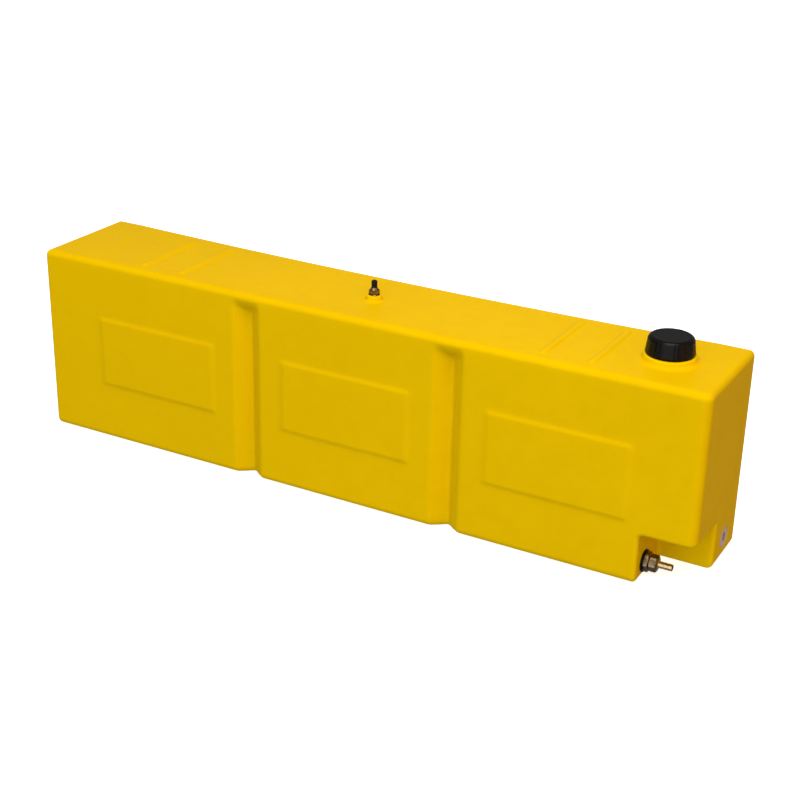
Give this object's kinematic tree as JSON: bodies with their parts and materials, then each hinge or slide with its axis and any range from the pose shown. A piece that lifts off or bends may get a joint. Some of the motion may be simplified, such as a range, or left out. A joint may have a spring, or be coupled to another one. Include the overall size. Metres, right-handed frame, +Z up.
{
  "type": "fresh water tank",
  "caption": "Slim upright rotomoulded water tank with front flutes, strap ribs, screw filler cap, capped breather and a hose tail outlet in a corner recess.",
  "frame": {"origin": "on the underside, at the middle of the tank's length and depth", "axes": "+X along the tank towards the filler and the outlet, +Y towards the back, +Z up; the pads and flutes face -Y"},
  "size_m": [1.1, 0.193, 0.3377],
  "materials": {
    "yellow_polyethylene": "semi-matt rotomoulded polyethylene with a faint orange peel",
    "black_polypropylene": "satin moulded",
    "white_foam": "closed-cell foam",
    "brass": "machined, slightly dulled",
    "black_rubber": "matt",
    "label_white": "blank moulded-in film"
  },
  "bodies": {
    "tank": {"tank_shell": "yellow_polyethylene", "filler_neck": "black_polypropylene", "breather_insert": "brass", "breather_barb": "brass", "outlet_insert": "brass", "outlet_washer": "black_rubber", "outlet_bush": "brass", "outlet_hose_tail": "brass", "round_label": "label_white"},
    "cap_seal": {"cap_gasket": "white_foam"},
    "filler_cap": {"filler_cap": "black_polypropylene"},
    "breather_cap": {"breather_cap": "black_rubber"}
  },
  "joints": [
    {"name": "cap_lift", "type": "slide", "parent": "tank", "child": "cap_seal", "axis": [0, 0, 1], "range_m": [0, 0.00901]},
    {"name": "cap_turn", "type": "hinge", "parent": "cap_seal", "child": "filler_cap", "pos_m": [0.46, -0.004, 0.3141], "axis": [0, 0, 1], "range_deg": [0, 540]},
    {"name": "breather_cap_pull", "type": "slide", "parent": "tank", "child": "breather_cap", "axis": [0, 0, 1], "range_m": [0, 0.012]}
  ],
  "couplings": [
    {"joint": "cap_lift", "follows": "cap_turn", "m_per_rad": 0.00095493}
  ]
}
